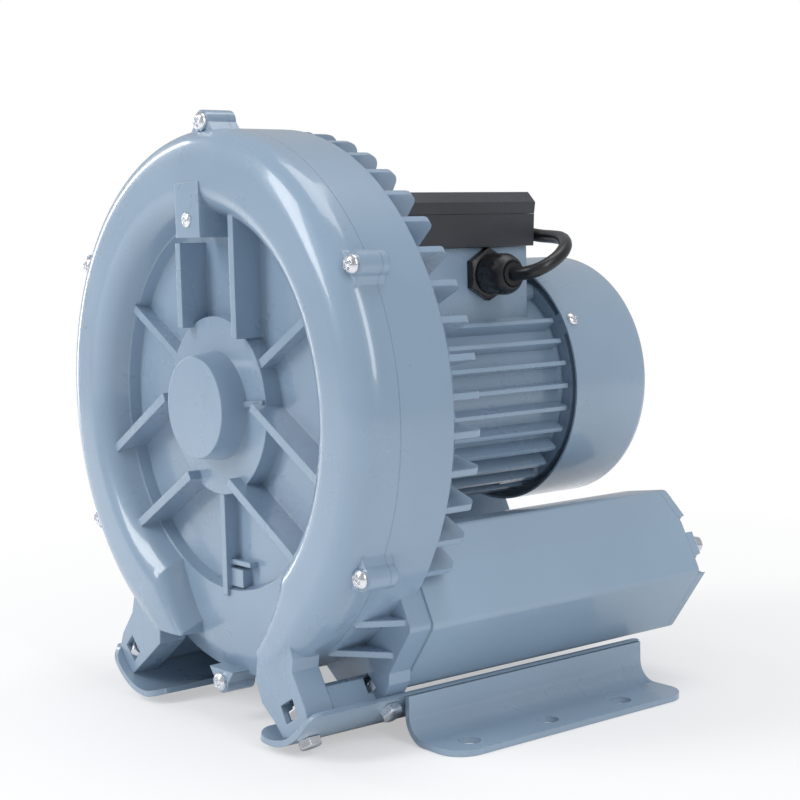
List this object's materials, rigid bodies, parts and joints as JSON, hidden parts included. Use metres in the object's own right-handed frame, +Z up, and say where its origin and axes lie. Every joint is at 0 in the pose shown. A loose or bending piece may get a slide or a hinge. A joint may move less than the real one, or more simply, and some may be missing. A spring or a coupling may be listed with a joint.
{
  "type": "industrial blower",
  "caption": "Side-channel blower with a ring-shaped ribbed cover, finned motor, terminal box, twin silencers with threaded ports and two foot rails.",
  "frame": {"origin": "middle of the foot-hole pattern, on the plane the foot rails stand on", "axes": "+Z up, +Y along the shaft from the blower head to the motor's fan cowl, +X towards the side with the cable gland"},
  "size_m": [0.27, 0.2522, 0.302],
  "materials": {
    "cast_paint": "satin blue-grey paint on cast aluminium",
    "sheet_paint": "satin blue-grey paint on pressed steel sheet",
    "silencer_paint": "satin blue-grey paint on extruded aluminium",
    "zinc_steel": "bright zinc plating",
    "bearing_steel": "ground steel",
    "bare_aluminium": "as cast",
    "shaft_steel": "turned",
    "black_rubber": "matt",
    "core_sheet": "stacked electrical sheet",
    "cage_aluminium": "die cast",
    "copper_wire": "varnished copper wire",
    "fan_plastic": "moulded",
    "box_plastic": "fine grain, half gloss",
    "block_plastic": "moulded",
    "can_plastic": "smooth",
    "gland_plastic": "fine grain",
    "lead_jacket": "smooth",
    "foam": "open foam"
  },
  "bodies": {
    "stator": {"front_cover": "cast_paint", "blower_housing": "cast_paint", "motor_frame": "cast_paint", "rear_shield": "cast_paint", "fan_cowl": "sheet_paint", "foot_rail_left": "sheet_paint", "foot_rail_right": "sheet_paint", "muffler_body_left": "silencer_paint", "muffler_body_right": "silencer_paint", "muffler_cap_left": "silencer_paint", "muffler_cap_right": "silencer_paint", "cover_screws": "zinc_steel", "pad_screw": "zinc_steel", "shield_screws": "zinc_steel", "cowl_screws": "zinc_steel", "lid_screws": "zinc_steel", "muffler_cap_screw_left": "zinc_steel", "muffler_cap_screw_right": "zinc_steel", "leg_bolts": "zinc_steel", "leg_nuts": "zinc_steel", "front_bearing_outer": "bearing_steel", "rear_bearing_outer": "bearing_steel", "preload_washer": "bearing_steel", "shaft_seal": "black_rubber", "stator_core": "core_sheet", "windings": "copper_wire", "capacitor_box": "box_plastic", "box_lid": "box_plastic", "terminal_block": "block_plastic", "capacitor": "can_plastic", "gland_body": "gland_plastic", "gland_nut": "gland_plastic", "gland_seal": "black_rubber", "lead_grommet": "black_rubber", "lead": "lead_jacket", "muffler_liner_left": "foam", "muffler_liner_right": "foam"},
    "rotor": {"impeller": "bare_aluminium", "impeller_key": "shaft_steel", "impeller_washer": "zinc_steel", "impeller_screw": "zinc_steel", "shaft": "shaft_steel", "front_bearing_inner": "bearing_steel", "rear_bearing_inner": "bearing_steel", "rotor_core": "core_sheet", "rotor_end_rings": "cage_aluminium", "cooling_fan": "fan_plastic", "fan_clip": "shaft_steel"}
  },
  "joints": [
    {"name": "rotor_spin", "type": "hinge", "parent": "stator", "child": "rotor", "pos_m": [0, 0, 0.158], "axis": [0, 1, 0], "continuous": true}
  ]
}
